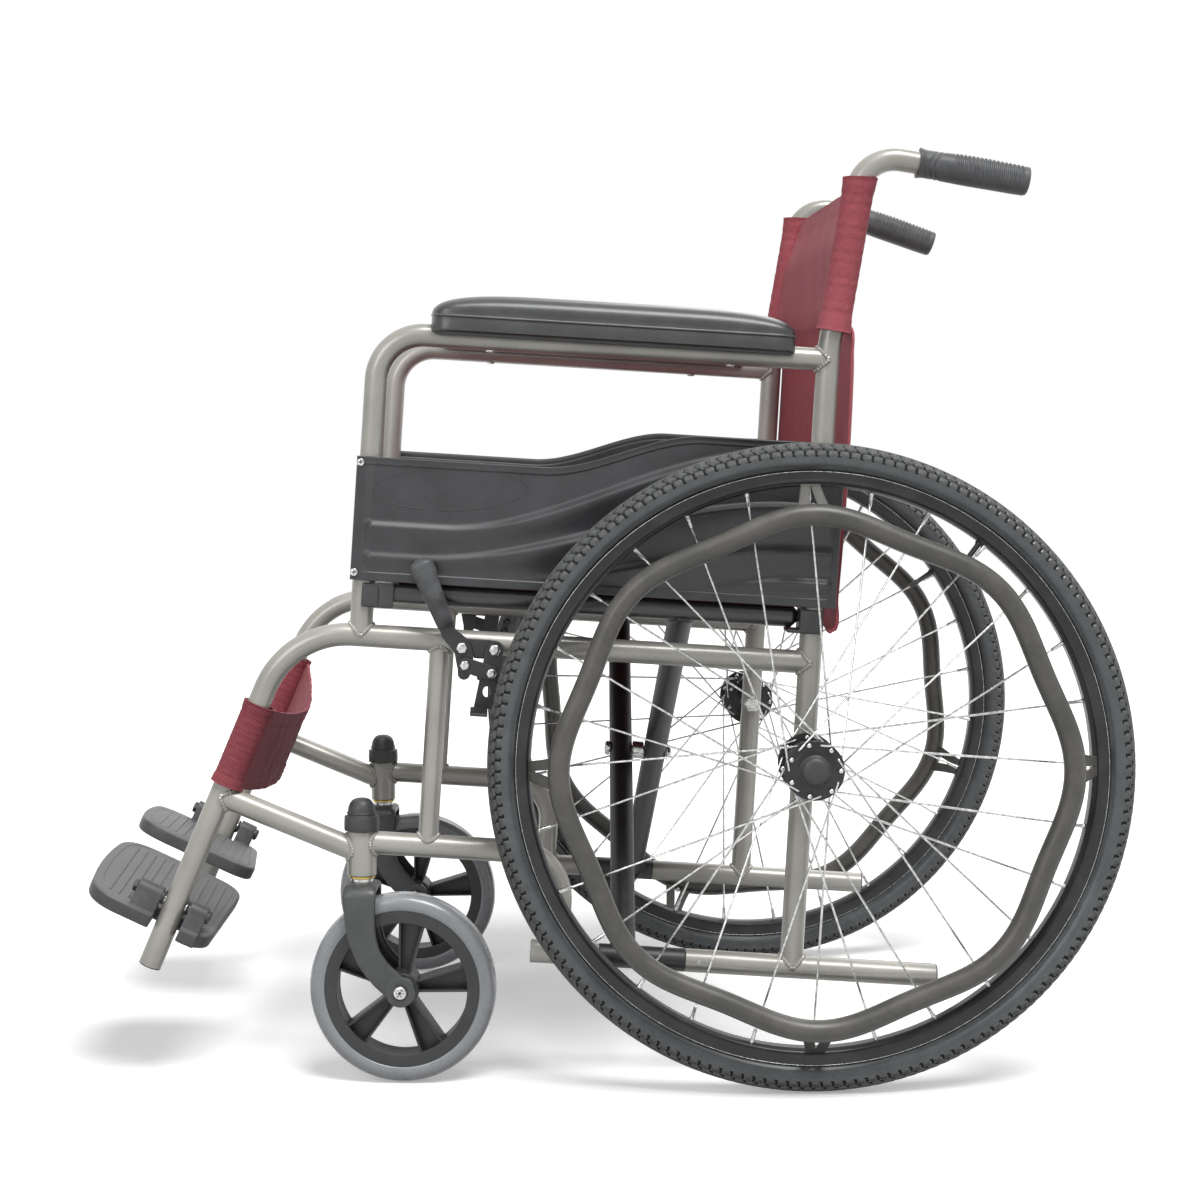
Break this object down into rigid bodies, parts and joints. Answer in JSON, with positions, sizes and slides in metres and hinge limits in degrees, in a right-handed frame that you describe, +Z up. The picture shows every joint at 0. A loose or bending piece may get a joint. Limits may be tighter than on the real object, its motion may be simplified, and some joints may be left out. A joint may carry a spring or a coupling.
{
  "type": "folding wheelchair",
  "caption": "Manual folding wheelchair with a scissor frame, wavy push rims, spoked rear wheels, swivel casters, flip-up footplates, lever brakes and a fabric seat and back.",
  "frame": {"origin": "middle of the footprint of the whole open chair, on the floor", "axes": "+Z up; the chair faces -Y and its length runs along Y; +X is the side of the rider's left hand"},
  "size_m": [0.6656, 0.9982, 0.8934],
  "materials": {
    "champagne_paint": "satin champagne-grey paint",
    "black_paint": "satin black paint",
    "zinc": "bright zinc plate",
    "tyre_rubber": "dark grey moulded tread",
    "black_alloy": "black anodised, with bright edges",
    "taupe_vinyl": "dark taupe vinyl coating",
    "grey_rubber": "smooth light grey",
    "black_plastic": "moulded black",
    "panel_plastic": "fine-grained charcoal",
    "grip_rubber": "ribbed charcoal",
    "pad_vinyl": "grained charcoal vinyl",
    "grey_plastic": "moulded grey, ribbed",
    "burgundy_nylon": "woven burgundy nylon"
  },
  "bodies": {
    "right_frame": {"rear_cane_right": "champagne_paint", "armrest_tube_right": "champagne_paint", "seat_rail_right": "champagne_paint", "bottom_rail_right": "champagne_paint", "front_frame_right": "champagne_paint", "push_grip_right": "grip_rubber", "armrest_pad_right": "pad_vinyl", "side_panel_right": "panel_plastic", "seat_guide_front_right": "black_plastic", "seat_guide_rear_right": "black_plastic", "caster_cap_right": "black_plastic", "rear_axle_right": "zinc", "footplate_pin_right": "zinc", "brake_bracket_right": "black_paint", "back_upholstery": "burgundy_nylon", "calf_strap": "burgundy_nylon"},
    "brace_a": {"cross_brace_a": "black_paint", "centre_bolt": "zinc", "seat_upholstery": "burgundy_nylon"},
    "brace_b": {"cross_brace_b": "black_paint"},
    "left_frame": {"rear_cane_left": "champagne_paint", "armrest_tube_left": "champagne_paint", "seat_rail_left": "champagne_paint", "bottom_rail_left": "champagne_paint", "front_frame_left": "champagne_paint", "push_grip_left": "grip_rubber", "armrest_pad_left": "pad_vinyl", "side_panel_left": "panel_plastic", "seat_guide_front_left": "black_plastic", "seat_guide_rear_left": "black_plastic", "caster_cap_left": "black_plastic", "rear_axle_left": "zinc", "footplate_pin_left": "zinc", "brake_bracket_left": "black_paint"},
    "wheel_right": {"tyre_right": "tyre_rubber", "rim_right": "black_alloy", "hub_and_spokes_right": "zinc", "hub_cap_right": "black_plastic", "handrim_right": "taupe_vinyl"},
    "caster_swivel_right": {"caster_fork_right": "black_plastic", "caster_axle_right": "zinc"},
    "caster_spin_right": {"caster_wheel_right": "black_plastic", "caster_tyre_right": "grey_rubber"},
    "footrest_right": {"footplate_right": "grey_plastic"},
    "brake_handle_right": {"brake_lever_right": "black_paint"},
    "brake_coupler_right": {"brake_link_right": "black_paint"},
    "brake_shoe_right": {"brake_arm_right": "black_paint"},
    "wheel_left": {"tyre_left": "tyre_rubber", "rim_left": "black_alloy", "hub_and_spokes_left": "zinc", "hub_cap_left": "black_plastic", "handrim_left": "taupe_vinyl"},
    "caster_swivel_left": {"caster_fork_left": "black_plastic", "caster_axle_left": "zinc"},
    "caster_spin_left": {"caster_wheel_left": "black_plastic", "caster_tyre_left": "grey_rubber"},
    "footrest_left": {"footplate_left": "grey_plastic"},
    "brake_handle_left": {"brake_lever_left": "black_paint"},
    "brake_coupler_left": {"brake_link_left": "black_paint"},
    "brake_shoe_left": {"brake_arm_left": "black_paint"}
  },
  "joints": [
    {"name": "fold", "type": "hinge", "parent": "right_frame", "child": "brace_a", "pos_m": [-0.23, 0.03597, 0.11457], "axis": [0, -0.9976, 0.0698], "range_deg": [0, 41], "deforming": ["seat_upholstery", "back_upholstery", "calf_strap"]},
    {"name": "scissor", "type": "hinge", "parent": "brace_a", "child": "brace_b", "pos_m": [0, 0.04826, 0.28312], "axis": [0, -0.9976, 0.0698], "range_deg": [-82, 0]},
    {"name": "left_frame_swing", "type": "hinge", "parent": "brace_b", "child": "left_frame", "pos_m": [0.23, 0.03597, 0.11457], "axis": [0, -0.9976, 0.0698], "range_deg": [0, 41]},
    {"name": "footplate_flip_right", "type": "hinge", "parent": "right_frame", "child": "footrest_right", "pos_m": [-0.23, -0.41292, 0.17124], "axis": [0, -0.9033, 0.4289], "range_deg": [0, 84]},
    {"name": "wheel_roll_right", "type": "hinge", "parent": "right_frame", "child": "wheel_right", "pos_m": [-0.2825, 0.19414, 0.305], "axis": [1, 0, 0], "continuous": true},
    {"name": "caster_turn_right", "type": "hinge", "parent": "right_frame", "child": "caster_swivel_right", "pos_m": [-0.23, -0.23286, 0.19], "axis": [0, 0, 1], "continuous": true},
    {"name": "caster_roll_right", "type": "hinge", "parent": "caster_swivel_right", "child": "caster_spin_right", "pos_m": [-0.22728, -0.19395, 0.09], "axis": [0.9976, -0.0698, 0], "continuous": true},
    {"name": "brake_throw_right", "type": "hinge", "parent": "right_frame", "child": "brake_handle_right", "pos_m": [-0.246, -0.13437, 0.41669], "axis": [-1, 0, 0], "range_deg": [0, 30]},
    {"name": "brake_coupler_turn_right", "type": "hinge", "parent": "brake_handle_right", "child": "brake_coupler_right", "pos_m": [-0.2495, -0.1316, 0.40035], "axis": [-1, 0, 0], "range_deg": [-35.5, 0]},
    {"name": "brake_shoe_swing_right", "type": "hinge", "parent": "right_frame", "child": "brake_shoe_right", "pos_m": [-0.246, -0.10306, 0.4143], "axis": [-1, 0, 0], "range_deg": [0, 21.5]},
    {"name": "footplate_flip_left", "type": "hinge", "parent": "left_frame", "child": "footrest_left", "pos_m": [0.23, -0.41292, 0.17124], "axis": [0, 0.9033, -0.4289], "range_deg": [0, 84]},
    {"name": "wheel_roll_left", "type": "hinge", "parent": "left_frame", "child": "wheel_left", "pos_m": [0.2825, 0.19414, 0.305], "axis": [1, 0, 0], "continuous": true},
    {"name": "caster_turn_left", "type": "hinge", "parent": "left_frame", "child": "caster_swivel_left", "pos_m": [0.23, -0.23286, 0.19], "axis": [0, 0, 1], "continuous": true},
    {"name": "caster_roll_left", "type": "hinge", "parent": "caster_swivel_left", "child": "caster_spin_left", "pos_m": [0.23272, -0.19395, 0.09], "axis": [0.9976, -0.0698, 0], "continuous": true},
    {"name": "brake_throw_left", "type": "hinge", "parent": "left_frame", "child": "brake_handle_left", "pos_m": [0.246, -0.13437, 0.41669], "axis": [-1, 0, 0], "range_deg": [0, 30]},
    {"name": "brake_coupler_turn_left", "type": "hinge", "parent": "brake_handle_left", "child": "brake_coupler_left", "pos_m": [0.2495, -0.1316, 0.40035], "axis": [-1, 0, 0], "range_deg": [-35.5, 0]},
    {"name": "brake_shoe_swing_left", "type": "hinge", "parent": "left_frame", "child": "brake_shoe_left", "pos_m": [0.246, -0.10306, 0.4143], "axis": [-1, 0, 0], "range_deg": [0, 21.5]}
  ],
  "couplings": [
    {"joint": "scissor", "follows": "fold", "ratio": -2},
    {"joint": "left_frame_swing", "follows": "fold", "ratio": 1},
    {"joint": "footplate_flip_right", "follows": "fold", "ratio": 2.0488},
    {"joint": "brake_coupler_turn_right", "follows": "brake_throw_right", "ratio": -1.17},
    {"joint": "brake_shoe_swing_right", "follows": "brake_throw_right", "ratio": 0.71},
    {"joint": "footplate_flip_left", "follows": "fold", "ratio": 2.0488},
    {"joint": "brake_coupler_turn_left", "follows": "brake_throw_left", "ratio": -1.17},
    {"joint": "brake_shoe_swing_left", "follows": "brake_throw_left", "ratio": 0.71}
  ]
}
